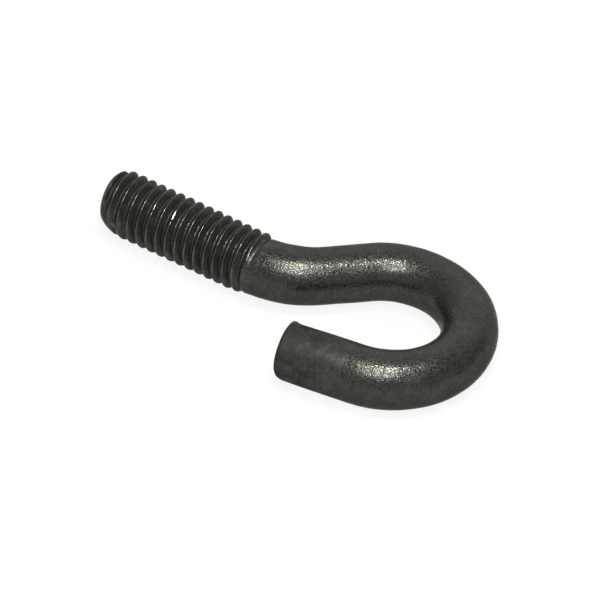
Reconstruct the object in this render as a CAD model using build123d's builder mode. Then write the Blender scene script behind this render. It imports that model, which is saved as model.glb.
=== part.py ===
"""Hook bolt: one bent steel rod, thickened by its thread along the straight end and closed to an open eye.

The origin is the centre of the eye. The shank's axis is X, with the threaded end towards -X, and the
whole rod is bent in the XY plane, so the bolt lies flat with +Z up.
"""
import os
from math import cos, radians, sin

from build123d import *

# Bent rod
rod_diameter = 8.3
eye_diameter = 14.7
neck_bend_radius = 13.0
neck_angle = 43.6
tail_length = 10.8
tail_flare_angle = 9.2
tail_edge_radius = 0.7

# Threaded end: its crests stand proud of the rod, from the rounded point to the shoulder
thread_length = 23.7
thread_rise = 0.57
shoulder_length = 0.6
point_length = 2.2
point_drop = 1.12

# Distance that one shape reaches into another where they join
overlap = 0.1

# Sizes that follow
rod_radius = rod_diameter / 2
loop_radius = (eye_diameter + rod_diameter) / 2
rise_share = sin(radians(neck_angle))
run_share = cos(radians(neck_angle))
ramp_length = (loop_radius * run_share - neck_bend_radius * (1 - run_share)) / rise_share
neck_x = -(loop_radius + neck_bend_radius) * rise_share - ramp_length * run_share
loop_angle = neck_angle + 180 - tail_flare_angle
thread_radius = rod_radius + thread_rise
thread_end_x = neck_x - thread_length

os.makedirs("parts", exist_ok=True)

with BuildPart() as hook_bolt:
    # Rod: straight shank, neck bend, ramp, eye about the origin and straight tail
    with BuildLine() as route:
        shank = Line((thread_end_x + point_length, 0), (neck_x, 0))
        neck = JernArc(shank @ 1, shank % 1, neck_bend_radius, neck_angle)
        ramp = PolarLine(neck @ 1, ramp_length, direction=neck % 1)
        eye = JernArc(ramp @ 1, ramp % 1, loop_radius, -loop_angle)
        tail = PolarLine(eye @ 1, tail_length, direction=eye % 1)
    with BuildSketch(Plane(origin=shank @ 0, z_dir=shank % 0)):
        Circle(rod_radius)
    sweep(path=route.line)

    # Square cut end of the tail, with its edge rounded over
    tail_end = hook_bolt.faces().sort_by_distance(tail @ 1)[0]
    fillet(tail_end.edges(), tail_edge_radius)

    # Outer form of the thread: flat end face, rounded point, crests and shoulder
    with BuildSketch(Plane.XY):
        with BuildLine():
            end_face = Line((thread_end_x, 0), (thread_end_x, thread_radius - point_drop))
            crests = Line((thread_end_x + point_length, thread_radius), (neck_x, thread_radius))
            TangentArc(crests @ 0, end_face @ 1, tangent=-(crests % 0))
            Polyline(
                crests @ 1,
                (neck_x + shoulder_length, rod_radius - overlap),
                (neck_x + shoulder_length, 0),
                end_face @ 0,
            )
        make_face()
    revolve(axis=Axis.X)

hook_bolt.part.label = "hook_bolt"
export_step(hook_bolt.part, "parts/hook_bolt.step")
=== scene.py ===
"""Hook bolt, dressed: its rolled thread, the slight unevenness of a hot bent rod, and dark scaled steel.

Lengths are in millimetres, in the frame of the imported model: the origin is the centre of the eye,
the shank lies along X with its threaded end towards -X, and the bolt is bent in the XY plane.
A station is a distance along the rod from its threaded end. A turn is an angle about the rod.
"""
from math import cos, pi, radians, sin, tan

import bpy
import numpy as np
from mathutils import Matrix, Vector, noise


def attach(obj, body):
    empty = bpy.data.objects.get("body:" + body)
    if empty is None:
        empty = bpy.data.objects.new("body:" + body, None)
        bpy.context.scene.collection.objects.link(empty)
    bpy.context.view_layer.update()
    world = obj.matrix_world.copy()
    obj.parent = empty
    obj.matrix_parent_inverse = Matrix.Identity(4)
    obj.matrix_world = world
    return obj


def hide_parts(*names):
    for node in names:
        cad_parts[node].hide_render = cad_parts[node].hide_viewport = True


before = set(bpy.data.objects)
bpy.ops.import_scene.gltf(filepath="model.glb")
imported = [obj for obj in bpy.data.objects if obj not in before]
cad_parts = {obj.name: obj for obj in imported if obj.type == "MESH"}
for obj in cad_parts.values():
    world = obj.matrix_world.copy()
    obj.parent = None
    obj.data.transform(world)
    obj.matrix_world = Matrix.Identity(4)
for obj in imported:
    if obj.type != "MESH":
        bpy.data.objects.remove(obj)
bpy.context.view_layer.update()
MM = 0.001

# Bent rod, close to the solid's
LOOP_RADIUS = 11.5
NECK_RADIUS = 13.0
NECK_ANGLE = radians(43.6)
TAIL_FLARE = radians(9.2)
TAIL_LENGTH = 10.97
TAIL_EDGE = 0.55
SHANK_LENGTH = 23.87
LOOP_ANGLE = NECK_ANGLE + pi - TAIL_FLARE
RAMP_LENGTH = (LOOP_RADIUS * cos(NECK_ANGLE) - NECK_RADIUS * (1 - cos(NECK_ANGLE))) / sin(NECK_ANGLE)
NECK_X = -(LOOP_RADIUS + NECK_RADIUS) * sin(NECK_ANGLE) - RAMP_LENGTH * cos(NECK_ANGLE)
TIP_X = NECK_X - SHANK_LENGTH
NECK_LENGTH = NECK_RADIUS * NECK_ANGLE
LOOP_LENGTH = LOOP_RADIUS * LOOP_ANGLE

# Stretches of the rod from the threaded end: length, and curvature to the left
RUNS = (
    (SHANK_LENGTH, 0.0),
    (NECK_LENGTH, 1 / NECK_RADIUS),
    (RAMP_LENGTH, 0.0),
    (LOOP_LENGTH, -1 / LOOP_RADIUS),
    (TAIL_LENGTH, 0.0),
)
NECK_END = SHANK_LENGTH + NECK_LENGTH
LOOP_START = NECK_END + RAMP_LENGTH
LOOP_END = LOOP_START + LOOP_LENGTH
ROD_END = LOOP_END + TAIL_LENGTH

# Radius of the rod at stations along it: bending stretched the outside of the eye and left the arms full
ROD_SIZES = (
    (SHANK_LENGTH, 4.25),
    (SHANK_LENGTH + 0.5 * NECK_LENGTH, 4.24),
    (NECK_END, 4.08),
    (LOOP_START, 4.13),
    (LOOP_START + 0.22 * LOOP_LENGTH, 4.12),
    (LOOP_START + 0.38 * LOOP_LENGTH, 4.20),
    (LOOP_START + 0.58 * LOOP_LENGTH, 4.14),
    (LOOP_START + 0.80 * LOOP_LENGTH, 4.22),
    (LOOP_END, 4.26),
    (ROD_END, 4.14),
)

# Share by which bending squeezed the section. Part of it narrows the section all round, and the rest
# flattens it in the plane of the bend
SQUEEZE = (
    (SHANK_LENGTH, 0.0),
    (NECK_END, 0.01),
    (LOOP_START, 0.012),
    (LOOP_START + 0.5 * LOOP_LENGTH, 0.022),
    (LOOP_END, 0.012),
    (ROD_END, 0.0),
)
SQUEEZE_NARROW = 0.25
SQUEEZE_FLATTEN = 0.75

# Rolled right-hand thread: one crest passes CREST_X at CREST_TURN. A flank rises between two heights, on a
# scale from 0 in the middle of a root to 1 in the middle of a crest
PITCH = 1.5875
THREAD_RADIUS = 4.72
THREAD_DEPTH = 0.93
CREST_X = -33.21
CREST_TURN = radians(45.7)
FLANK_LOW = 0.18
FLANK_HIGH = 0.895
ROOT_BLUR = 0.06
CREST_BLUR = 0.105

# Crests differ in height and width along the thread. Two have a flat struck on them, which leans towards
# the neck: its place along X, its turn and its depth, then the lean and the cosine of its furthest reach
CREST_UNEVEN = 0.05
CREST_WIDEN = 0.05
CREST_PATCH = 2.2
NICKS = ((-37.62, radians(121), 0.06), (-34.46, radians(119), 0.10))
NICK_LEAN = radians(15)
NICK_REACH = 0.5

# At the inner end the crests drop over a short way, longer on the lower side, and the grooves fade over a
# longer one. Both end a little later on the upper far side
FADE_X = -21.80
FADE_SLANT = 0.50
FADE_HALF = 0.60
FADE_SOFTEN = 1.8
GROOVE_FADE_HALF = 1.15

# The point: its radius at the end face, and how slowly it reaches the crests
POINT_RADIUS = 3.6
POINT_RISE = 1.25
POINT_REACH = 0.75
POINT_BLUR = 0.12

# One side of the point was not filled by the dies, fully so over a share of its length: it reaches the
# crests more slowly, and its grooves are shallow
BARE_REACH = 1.9
BARE_TURN = radians(205)
BARE_HALF = radians(80)
BARE_LENGTH = 6.2
BARE_FULL = 0.35
BARE_FILL = 0.78

# The end face leans: its upper side stands further out
TIP_LEAN = 0.33
TIP_LEAN_TURN = radians(65)
TIP_LEAN_LENGTH = 4.0

# The cut end of the tail: a small burr on its upper edge, and its lower edge worn rounder
BURR = 0.24
BURR_TURN = radians(135)
BURR_HALF = radians(40)
BURR_LENGTH = 1.4
WORN_EDGE = 0.42
WORN_EDGE_TURN = radians(-48)
WORN_EDGE_HALF = radians(70)
WORN_EDGE_LENGTH = 1.5

# The tail's skin is rubbed smooth: the length from its end, and the share of that which is fully so
RUBBED_LENGTH = 12.0
RUBBED_FULL = 0.5

# End faces: the point is a little hollow and both are left rough by the cut, less so towards the rim
POINT_HOLLOW = 0.30
CUT_ROUGH = 0.10
CUT_MARKS = (1.1, 0.35, 1.1)
CUT_RIM_POWER = 4

# Uneven skin: size of the swellings and their height
SWELLS = ((5.0, 0.035), (1.7, 0.016), (0.7, 0.006))

# Tone of the skin, as shares of its colour: lighter on the worn crests, darker in the roots and where the
# dies missed, lighter where the tail is rubbed, and dark over the upper side of the tail's end
CREST_TONE = 0.52
ROOT_TONE = -0.28
BARE_TONE = -0.30
RUBBED_TONE = 0.20
SHADE_TONE = -0.48
SHADE_TURN = radians(62)
SHADE_HALF = radians(75)
SHADE_LENGTH = 8.0
SHADE_END = 1.0

# Depths between which the crests, the roots and the dull flanks come and go. Depth is 0 on a crest and 1 in
# a root
CREST_FADE = (0.0, 0.12)
ROOT_FADE = (0.6, 0.95)
FLANK_FADE = (0.12, 0.4)

# Roots on the upper side towards the neck are smoother, and there they carry a painted highlight, a lighter
# tone where the lamps' glint falls: depths and stations between which this comes in, its side and the
# painted tone
SHINE_DEPTH = (0.86, 0.98)
SHINE_RISE = (8.0, 13.0)
SHINE_TURN = radians(122)
SHINE_HALF = radians(55)
PAINTED_ROOT_GLINT_TONE = 0.40

# Mesh: rings along the rod and points round each ring. As many rings to a pitch as points to a ring lets
# the diagonals of the faces follow the thread
COLUMNS = 64
ROWS_PER_PITCH = COLUMNS
THREAD_MESH_END = SHANK_LENGTH + 1.6
ROD_STEP = 0.30
EDGE_ROWS = 12
CAP_RINGS = 12
CAP_SHARES = np.linspace(0, 1, CAP_RINGS + 1)[1:-1]

# Colours of the steel: grey and olive scale, dust caught in the thread, and smudges on the tail
GREY_SCALE = (0.0445, 0.0445, 0.0423, 1)
OLIVE_SCALE = (0.0710, 0.0722, 0.0635, 1)
DUST = (0.16, 0.16, 0.155, 1)
SMUDGE = (0.034, 0.035, 0.032, 1)
METALLIC = 0.8
RIM_TINT = (0.55, 0.55, 0.52, 1)

# Patterns over the steel
PATCHES = {"Scale": 420.0, "Detail": 6.0, "Roughness": 0.75}
PITS = {"Scale": 2700.0, "Detail": 3.0}
SPECKS = {"Scale": 750.0, "Detail": 2.0}
FACETS = {"Scale": 4200.0, "Detail": 1.0}
DENTS = {"Scale": 900.0, "Detail": 1.0}
GRAIN = {"Scale": 3900.0, "Detail": 1.0}

# The range of a pattern that counts, then what it stands for: where the scale goes from grey to olive, how
# much pits change the colour, and how much dust and smudge there is. Dust is thickest half way down a flank
SCALE_RANGE = (0.30, 0.70)
PIT_RANGE = (0.34, 0.64)
PIT_SHARE = (0.78, 1.12)
SPECK_RANGE = (0.56, 0.72)
SPECK_SHARE = (0.0, 1.2)
SMUDGE_RANGE = (0.40, 0.60)
SMUDGE_SHARE = (1.0, 0.0)
FLANK_MIDDLE = 0.5

# Roughness of the skin between and on its smooth facets, of the rolled thread, its flanks and the struck
# flats, and of the rubbed tail
FACET_RANGE = (0.425, 0.565)
FACET_ROUGHNESS = (0.48, 0.13)
ROLLED_ROUGHNESS = 0.21
FLANK_ROUGHNESS = 0.5
NICK_ROUGHNESS = 0.10
RUBBED_ROUGHNESS = 0.60

# Depth of the dents and the grain, and the share that is left where they are pressed flat
DENT_DEPTH = 0.025
GRAIN_DEPTH = 0.045
GRAIN_SHARE = (1.0, 0.06)

# Camera: direction from the eye, tilt of the frame, and where the origin falls in the 600 pixel frame
VIEW_AZIMUTH = radians(28.464)
VIEW_ELEVATION = radians(40.702)
VIEW_ROLL = radians(5.492)
VIEW_DISTANCE = 1356.5
PIXELS_PER_MM = 7.1529
FRAME_PIXELS = 600
ORIGIN_PIXEL = (387.49, 325.56)
SENSOR = 36.0

# The bolt rests on its crests near the neck and on the eye. The floor is white apart from a share of
# lit paper, which takes the shadow
REST_X = -23.0
REST_Z = -4.70
REST_SLOPE = radians(0.87)
FLOOR_SIZE = 8000.0
SHADOW_SHARE = 0.11
PAPER = (0.64, 0.64, 0.64, 1)
WHITE = (1, 1, 1, 1)

# Lamps: the point that they look at and how far away they are. For each, the direction that it shines from,
# its width and height, the light that falls on a surface facing it, and its colour
LAMP_AIM = (-10.0, 0.0, 0.0)
LAMP_DISTANCE = 900.0
LAMPS = (
    ("overhead", (0.146, -0.170, 0.975), (300, 145), 0.92, (1.0, 0.965, 0.86)),
    ("front", (0.274, -0.511, 0.814), (330, 190), 0.63, (0.88, 0.94, 1.0)),
)

# Light of the room: the way it is brightest, its levels away from and towards there, and what the near side
# adds. The spans are those of the cosine of the angle from the brightest way
ROOM_BRIGHT_WAY = (-0.45, 0.88, 0.12)
ROOM_BRIGHT_SPAN = (0.3, 0.95)
ROOM_LEVELS = (0.27, 1.20)
ROOM_NEAR_SPAN = (-0.1, -0.9)
ROOM_NEAR_LEVELS = (0.0, 0.22)


def eased(stations, places):
    """Values between named places along the rod, level at each place."""
    at, value = np.array(places).T
    i = np.clip(np.searchsorted(at, stations) - 1, 0, len(at) - 2)
    t = np.clip((stations - at[i]) / (at[i + 1] - at[i]), 0, 1)
    return value[i] + (value[i + 1] - value[i]) * t * t * (3 - 2 * t)


def fade(v, start, end):
    """0 at start and before, 1 at end and after, smooth between."""
    t = np.clip((v - start) / (end - start), 0, 1)
    return t * t * (3 - 2 * t)


def over(v, blur):
    """The part of v above zero, with the corner at zero rounded."""
    return np.where(v < -blur, 0.0, np.where(v > blur, v, (v + blur) ** 2 / (4 * blur)))


def smooth_noise(points, size):
    """Noise of one size at each point, from about -1 to 1."""
    return np.array([noise.noise(Vector(p)) for p in points / size])


def along_route(stations):
    """Centre of the rod and its heading at each station."""
    x = np.full_like(stations, TIP_X)
    y = np.zeros_like(stations)
    heading = np.zeros_like(stations)
    left = stations.copy()
    for length, curve in RUNS:
        go = np.clip(left, 0, length)
        after = heading + curve * go
        if curve:
            x += (np.sin(after) - np.sin(heading)) / curve
            y += (np.cos(heading) - np.cos(after)) / curve
        else:
            x += go * np.cos(heading)
            y += go * np.sin(heading)
        heading = after
        left -= go
    return x, y, heading


def near_turn(turn, middle, half):
    """1 at one turn, falling to 0 half a width away on either side."""
    off = (turn - middle + pi) % (2 * pi) - pi
    return np.where(np.abs(off) < half, np.cos(off / half * pi / 2) ** 2, 0.0)


def bare_side(station, turn):
    """1 in the middle of the patch by the point where the thread is not filled, 0 away from it."""
    return near_turn(turn, BARE_TURN, BARE_HALF) * (1 - fade(station, BARE_FULL * BARE_LENGTH, BARE_LENGTH))


def tip_lean(station, turn):
    """How far a point near the threaded end stands out beyond its ring."""
    return TIP_LEAN * np.cos(turn - TIP_LEAN_TURN) * (1 - fade(station, 0, TIP_LEAN_LENGTH))


def crest_unevenness(x, turn):
    """How far down the crests are in places, from 0 to about 1."""
    places = np.stack([x, THREAD_RADIUS * np.cos(turn), THREAD_RADIUS * np.sin(turn)], axis=-1)
    return np.maximum(smooth_noise(places.reshape(-1, 3), CREST_PATCH).reshape(x.shape), 0)


def struck(x, turn):
    """Radius of the flats struck on two crests, which is beyond the crests everywhere else."""
    radius = np.full_like(x, 2 * THREAD_RADIUS)
    for nick_x, nick_turn, depth in NICKS:
        off = np.cos(turn - nick_turn)
        near = (np.abs(x - nick_x) < PITCH / 2) & (off > NICK_REACH)
        flat = (THREAD_RADIUS - depth - (x - nick_x) * tan(NICK_LEAN)) / np.maximum(off, NICK_REACH)
        radius = np.where(near, flat, radius)
    return radius


def thread_skin(station, turn, rod):
    """The threaded end: its radius, its depth in the thread from 0 to 1, how far it was rolled and where it
    was struck.
    """
    x = TIP_X + station - tip_lean(station, turn)
    upper = np.cos(turn - CREST_TURN)
    end = FADE_X + FADE_SLANT * upper
    half = FADE_HALF * (1 + FADE_SOFTEN * (1 - upper) / 2)
    rolled = 1 - fade(x, end - half, end + half)
    cut = 1 - fade(x, end - GROOVE_FADE_HALF, end + GROOVE_FADE_HALF)
    uneven = crest_unevenness(x, turn)
    high = FLANK_HIGH - CREST_WIDEN * uneven
    from_crest = (x - CREST_X) / PITCH - (turn - CREST_TURN) / (2 * pi)
    height = 2 * np.abs(from_crest % 1 - 0.5)
    flank = (over(height - FLANK_LOW, ROOT_BLUR) - over(height - high, CREST_BLUR)) / (high - FLANK_LOW)
    bare = bare_side(station, turn)
    deep = (1 - flank) * cut * (1 - BARE_FILL * bare)
    crest = THREAD_RADIUS - CREST_UNEVEN * uneven
    radius = rod + (crest - rod) * rolled - THREAD_DEPTH * deep
    flat = struck(x, turn)
    bright = (flat < radius).astype(float)
    radius = np.minimum(radius, flat)
    reach = POINT_REACH + (BARE_REACH - POINT_REACH) * bare
    point = POINT_RADIUS + POINT_RISE * (1 - np.exp(-station / reach))
    return radius - over(radius - point, POINT_BLUR), deep, rolled, bright


def tail_change(station, turn):
    """How far the burr and the worn edge move the skin at the end of the tail."""
    raised = near_turn(turn, BURR_TURN, BURR_HALF) * fade(station, ROD_END - BURR_LENGTH, ROD_END)
    towards_end = np.clip(1 - (ROD_END - station) / WORN_EDGE_LENGTH, 0, 1)
    worn = near_turn(turn, WORN_EDGE_TURN, WORN_EDGE_HALF) * towards_end ** 2
    return BURR * raised - WORN_EDGE * worn


def skin(station, turn):
    """The whole rod: its radius, its depth in the thread, how far it was rolled and where it was struck."""
    squeeze = eased(station, SQUEEZE) * (SQUEEZE_NARROW + SQUEEZE_FLATTEN * np.cos(2 * turn))
    radius = eased(station, ROD_SIZES) * (1 - squeeze)
    deep, rolled, bright = np.zeros((3, *radius.shape))
    near = station[:, 0] < THREAD_MESH_END
    thread = thread_skin(station[near], turn[near], radius[near])
    radius[near], deep[near], rolled[near], bright[near] = thread
    radius += tail_change(station, turn)
    from_end = np.clip(station - (ROD_END - TAIL_EDGE), 0, TAIL_EDGE)
    return radius - TAIL_EDGE + np.sqrt(TAIL_EDGE ** 2 - from_end ** 2), deep, rolled, bright


def smooth_root_and_painted_glint(station, turn, deep):
    """1 in the roots that are smoother and carry a painted highlight, 0 elsewhere."""
    return near_turn(turn, SHINE_TURN, SHINE_HALF) * fade(deep, *SHINE_DEPTH) * fade(station, *SHINE_RISE)


def skin_tone(station, turn, deep, rolled, rubbed):
    """Share by which the skin is lighter or darker than plain steel."""
    thread = CREST_TONE * (1 - fade(deep, *CREST_FADE)) + ROOT_TONE * fade(deep, *ROOT_FADE)
    # Painted highlight: the smoother roots on the upper side get a lighter tone where the lamps' glint
    # falls, in place of the darker root tone
    thread += (PAINTED_ROOT_GLINT_TONE - ROOT_TONE) * smooth_root_and_painted_glint(station, turn, deep)
    shade = near_turn(turn, SHADE_TURN, SHADE_HALF)
    shade = shade * fade(station, ROD_END - SHADE_LENGTH, ROD_END - SHADE_END)
    bare = bare_side(station, turn)
    return thread * rolled + BARE_TONE * bare + RUBBED_TONE * rubbed + SHADE_TONE * shade


def ring_stations():
    """Stations of the rings, close together along the thread and at the cut edge."""
    edge_start = ROD_END - TAIL_EDGE
    thread = np.arange(0, THREAD_MESH_END, PITCH / ROWS_PER_PITCH)
    rod = np.linspace(THREAD_MESH_END, edge_start, round((edge_start - THREAD_MESH_END) / ROD_STEP))
    edge = ROD_END - TAIL_EDGE * (1 - np.sin(np.linspace(0, pi / 2, EDGE_ROWS + 1)[1:]))
    return np.concatenate([thread, rod, edge])


def bolt_points(stations, turns, radius):
    """Points of all the rings, then the middles of the two end faces.

    An end face is made of rings that close on the axis.
    """
    caps = len(CAP_SHARES)
    shares = np.r_[CAP_SHARES, np.ones(len(stations)), CAP_SHARES[::-1]]
    rows = np.r_[np.zeros(caps), stations, np.full(caps, ROD_END)]
    rings = np.vstack([np.repeat(radius[:1], caps, axis=0), radius, np.repeat(radius[-1:], caps, axis=0)])
    rings *= shares[:, None]
    x, y, heading = (v[:, None] for v in along_route(rows))
    side = rings * np.cos(turns)
    lean = tip_lean(rows[:, None], turns)
    lean[:caps] *= CAP_SHARES[:, None]
    points = np.dstack([
        x - lean - np.sin(heading) * side,
        y + np.cos(heading) * side,
        rings * np.sin(turns),
    ]).reshape(-1, 3)
    middles = np.hstack([x, y, np.zeros_like(x)])
    outward = points - np.repeat(middles, COLUMNS, axis=0)
    outward /= np.linalg.norm(outward, axis=1)[:, None]
    swell = sum(height * smooth_noise(points, size) for size, height in SWELLS)
    points += outward * swell[:, None]
    points = np.vstack([points, middles[0], middles[-1]])
    from_axis = np.r_[np.repeat(shares, COLUMNS), 0, 0]
    return roughen_ends(points, from_axis)


def roughen_ends(points, from_axis):
    """The same points with the end faces hollowed and roughened, more so towards the axis."""
    cap = from_axis < 1
    hollow = POINT_HOLLOW * (points[cap, 0] < NECK_X)
    marks = CUT_ROUGH * smooth_noise(points[cap], CUT_MARKS)
    points[cap, 0] += (hollow + marks) * (1 - from_axis[cap] ** CUT_RIM_POWER)
    return points


def bolt_faces(row_count):
    """Faces between neighbouring rings, and a fan round the middle of each end face."""
    grid = np.arange(row_count * COLUMNS).reshape(row_count, COLUMNS)
    beside = np.roll(grid, -1, axis=1)
    first = grid.size
    last = grid.size + 1
    faces = np.dstack([grid[:-1], beside[:-1], beside[1:], grid[1:]]).reshape(-1, 4).tolist()
    faces += [(first, int(b), int(a)) for a, b in zip(grid[0], beside[0])]
    faces += [(last, int(a), int(b)) for a, b in zip(grid[-1], beside[-1])]
    return faces


def add_layers(mesh, layers):
    """Values at the points of the rings for the material to read, with 0 on the end faces."""
    plain = np.zeros((len(CAP_SHARES), COLUMNS))
    for name, value in layers.items():
        layer = mesh.attributes.new(name, "FLOAT", "POINT")
        layer.data.foreach_set("value", np.r_[np.vstack([plain, value, plain]).ravel(), 0, 0])


def bolt_mesh():
    """The whole bolt as rings of points along the bent rod, closed by a face at each end."""
    stations = ring_stations()
    turns = np.linspace(0, 2 * pi, COLUMNS, endpoint=False)
    station, turn = np.meshgrid(stations, turns, indexing="ij")
    radius, deep, rolled, bright = skin(station, turn)
    points = bolt_points(stations, turns, radius)
    faces = bolt_faces(len(stations) + 2 * len(CAP_SHARES))
    mesh = bpy.data.meshes.new("hook_bolt_skin")
    mesh.from_pydata((points * MM).tolist(), [], faces)
    mesh.update()
    mesh.shade_smooth()
    rubbed = fade(station, ROD_END - RUBBED_LENGTH, ROD_END - RUBBED_FULL * RUBBED_LENGTH)
    add_layers(mesh, {
        "deep": deep,
        "flank": fade(deep, *FLANK_FADE) * (1 - smooth_root_and_painted_glint(station, turn, deep)),
        "rolled": rolled,
        "bright": bright,
        "rubbed": rubbed,
        "tone": skin_tone(station, turn, deep, rolled, rubbed),
    })
    return mesh


class Graph:
    """Short calls to add and join the nodes of a material or a world."""

    def __init__(self, tree):
        self.tree = tree
        tree.nodes.clear()

    def add(self, kind, values=None, **settings):
        """A new node with its settings, and a value or a link for each input that is named."""
        node = self.tree.nodes.new(kind)
        for name, value in settings.items():
            setattr(node, name, value)
        for name, value in (values or {}).items():
            if isinstance(value, bpy.types.NodeSocket):
                self.tree.links.new(value, node.inputs[name])
            else:
                node.inputs[name].default_value = value
        return node

    def layer(self, name):
        """A layer of values of the mesh."""
        return self.add("ShaderNodeAttribute", attribute_name=name).outputs["Fac"]

    def pattern(self, place, settings):
        """Noise from 0 to 1."""
        return self.add("ShaderNodeTexNoise", {"Vector": place, **settings}).outputs["Fac"]

    def remap(self, value, given, wanted):
        """A value taken from one range to another, level beyond it."""
        return self.add("ShaderNodeMapRange", {
            "Value": value,
            "From Min": given[0],
            "From Max": given[1],
            "To Min": wanted[0],
            "To Max": wanted[1],
        }).outputs["Result"]

    def math(self, operation, *values):
        """One step of arithmetic."""
        return self.add("ShaderNodeMath", dict(enumerate(values)), operation=operation).outputs[0]

    def mix(self, kind, factor, a, b, blend="MIX"):
        """Two numbers or colours mixed."""
        values = {"Factor": factor, "A": a, "B": b}
        return self.add("ShaderNodeMix", values, data_type=kind, blend_type=blend).outputs["Result"]


def steel_color(g, place):
    """Patches of olive scale over grey, broken by fine pits, dust on the flanks and smudges on the tail."""
    deep = g.layer("deep")
    patches = g.pattern(place, PATCHES)
    scale = g.add("ShaderNodeValToRGB", {"Fac": patches})
    ramp = scale.color_ramp.elements
    for element, position, color in zip(ramp, SCALE_RANGE, (GREY_SCALE, OLIVE_SCALE)):
        element.position = position
        element.color = color
    pits = g.remap(g.pattern(place, PITS), PIT_RANGE, PIT_SHARE)
    toned = g.math("MULTIPLY_ADD", pits, g.layer("tone"), pits)
    pitted = g.mix("RGBA", 1.0, scale.outputs["Color"], toned, blend="MULTIPLY")
    specks = g.remap(g.pattern(place, SPECKS), SPECK_RANGE, SPECK_SHARE)
    dust = g.math("MULTIPLY", specks, g.math("PINGPONG", deep, FLANK_MIDDLE))
    dusty = g.mix("RGBA", dust, pitted, DUST)
    smudges = g.math("MULTIPLY", g.layer("rubbed"), g.remap(patches, SMUDGE_RANGE, SMUDGE_SHARE))
    return g.mix("RGBA", smudges, dusty, SMUDGE)


def steel_roughness(g, place):
    """Small smooth facets in a duller skin, a smoother rolled thread with dull flanks, and a dull tail."""
    facets = g.remap(g.pattern(place, FACETS), FACET_RANGE, FACET_ROUGHNESS)
    thread = g.mix("FLOAT", g.layer("rolled"), facets, ROLLED_ROUGHNESS)
    flanks = g.mix("FLOAT", g.layer("flank"), thread, FLANK_ROUGHNESS)
    nicks = g.mix("FLOAT", g.layer("bright"), flanks, NICK_ROUGHNESS)
    return g.mix("FLOAT", g.layer("rubbed"), nicks, RUBBED_ROUGHNESS)


def steel_grain(g, place):
    """Small bumps and pits over larger dents, pressed flat where the skin was rolled or rubbed."""
    pressed = g.math("MAXIMUM", g.layer("rolled"), g.layer("rubbed"))
    strength = g.remap(pressed, (0.0, 1.0), GRAIN_SHARE)
    dented = g.add("ShaderNodeBump", {
        "Height": g.pattern(place, DENTS),
        "Strength": strength,
        "Distance": DENT_DEPTH * MM,
    })
    return g.add("ShaderNodeBump", {
        "Height": g.pattern(place, GRAIN),
        "Strength": strength,
        "Distance": GRAIN_DEPTH * MM,
        "Normal": dented.outputs["Normal"],
    }).outputs["Normal"]


def steel():
    """Dark scaled steel."""
    material = bpy.data.materials.new("dark_steel")
    material.use_nodes = True
    g = Graph(material.node_tree)
    place = g.add("ShaderNodeTexCoord").outputs["Object"]
    shader = g.add("ShaderNodeBsdfPrincipled", {
        "Base Color": steel_color(g, place),
        "Metallic": METALLIC,
        "Roughness": steel_roughness(g, place),
        "Specular IOR Level": 0.0,
        "Specular Tint": RIM_TINT,
        "Normal": steel_grain(g, place),
    })
    g.add("ShaderNodeOutputMaterial", {"Surface": shader.outputs["BSDF"]})
    return material


def floor_material():
    """Pale floor that reads as white, in reflections too, and keeps a soft shadow."""
    material = bpy.data.materials.new("floor")
    material.use_nodes = True
    g = Graph(material.node_tree)
    rays = g.add("ShaderNodeLightPath").outputs
    seen = g.math("MAXIMUM", rays["Is Camera Ray"], rays["Is Glossy Ray"])
    seen = g.math("MAXIMUM", seen, rays["Is Transmission Ray"])
    glow = g.add("ShaderNodeEmission", {"Color": WHITE, "Strength": seen})
    paper = g.add("ShaderNodeBsdfDiffuse", {"Color": PAPER})
    both = g.add("ShaderNodeMixShader", {0: SHADOW_SHARE, 1: glow.outputs[0], 2: paper.outputs[0]})
    g.add("ShaderNodeOutputMaterial", {"Surface": both.outputs[0]})
    return material


def room():
    """Pale room, brightest on the far side of the bolt."""
    world = bpy.data.worlds.new("room")
    world.use_nodes = True
    g = Graph(world.node_tree)
    way = g.add("ShaderNodeTexCoord").outputs["Generated"]
    towards = g.add("ShaderNodeVectorMath", {0: way, 1: ROOM_BRIGHT_WAY}, operation="DOT_PRODUCT")
    cosine = towards.outputs["Value"]
    level = g.remap(cosine, ROOM_BRIGHT_SPAN, ROOM_LEVELS)
    near = g.remap(cosine, ROOM_NEAR_SPAN, ROOM_NEAR_LEVELS)
    sky = g.add("ShaderNodeBackground", {"Color": WHITE, "Strength": g.math("ADD", level, near)})
    g.add("ShaderNodeOutputWorld", {"Surface": sky.outputs[0]})
    return world


def add(name, data):
    """A new object in the scene."""
    obj = bpy.data.objects.new(name, data)
    bpy.context.scene.collection.objects.link(obj)
    return obj


def floor_mesh():
    """One large square."""
    far = FLOOR_SIZE / 2 * MM
    mesh = bpy.data.meshes.new("floor")
    mesh.from_pydata([(-far, -far, 0), (far, -far, 0), (far, far, 0), (-far, far, 0)], [], [(0, 1, 2, 3)])
    return mesh


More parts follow.
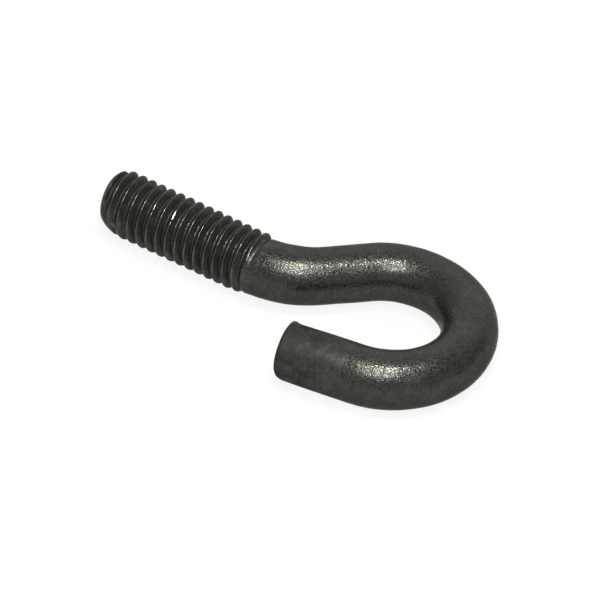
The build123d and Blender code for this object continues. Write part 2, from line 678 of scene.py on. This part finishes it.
def turned(across, along, back):
    """Rotation that takes X, Y and Z to three directions."""
    return Matrix((across, along, back)).transposed().to_4x4()


def add_camera():
    """Camera that sees the origin at its pixel of the frame, from the stated direction and tilt."""
    level = cos(VIEW_ELEVATION)
    right = Vector((cos(VIEW_AZIMUTH), sin(VIEW_AZIMUTH), 0))
    back = Vector((sin(VIEW_AZIMUTH) * level, -cos(VIEW_AZIMUTH) * level, sin(VIEW_ELEVATION)))
    up = back.cross(right)
    across = right * cos(VIEW_ROLL) + up * sin(VIEW_ROLL)
    along = up * cos(VIEW_ROLL) - right * sin(VIEW_ROLL)
    shift_x, shift_y = ((p - FRAME_PIXELS / 2) / PIXELS_PER_MM for p in ORIGIN_PIXEL)
    place = (back * VIEW_DISTANCE - across * shift_x + along * shift_y) * MM
    data = bpy.data.cameras.new("camera")
    data.sensor_width = SENSOR
    data.lens = SENSOR * PIXELS_PER_MM * VIEW_DISTANCE / FRAME_PIXELS
    camera = add("camera", data)
    camera.matrix_world = Matrix.Translation(place) @ turned(across, along, back)
    bpy.context.scene.camera = camera


def add_lamp(name, direction, sizes, strength, color):
    """Soft box that looks at the bolt from a direction, with the power for its stated light there."""
    back = Vector(direction).normalized()
    across = Vector((0, 0, 1)).cross(back).normalized()
    place = (Vector(LAMP_AIM) + back * LAMP_DISTANCE) * MM
    data = bpy.data.lights.new(name, "AREA")
    data.shape = "ELLIPSE"
    data.size, data.size_y = (size * MM for size in sizes)
    data.energy = strength * pi * pi * (LAMP_DISTANCE * MM) ** 2
    data.color = color
    lamp = add(name, data)
    lamp.matrix_world = Matrix.Translation(place) @ turned(across, back.cross(across), back)


bolt = add("hook_bolt_skin", bolt_mesh())
bolt.data.materials.append(steel())
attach(bolt, "root")
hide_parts("hook_bolt")

floor = add("floor", floor_mesh())
floor.location = (REST_X * MM, 0, REST_Z * MM)
floor.rotation_euler = (0, -REST_SLOPE, 0)
floor.data.materials.append(floor_material())

bpy.context.scene.world = room()
add_camera()
for lamp_values in LAMPS:
    add_lamp(*lamp_values)

bpy.context.scene.view_settings.view_transform = "Standard"
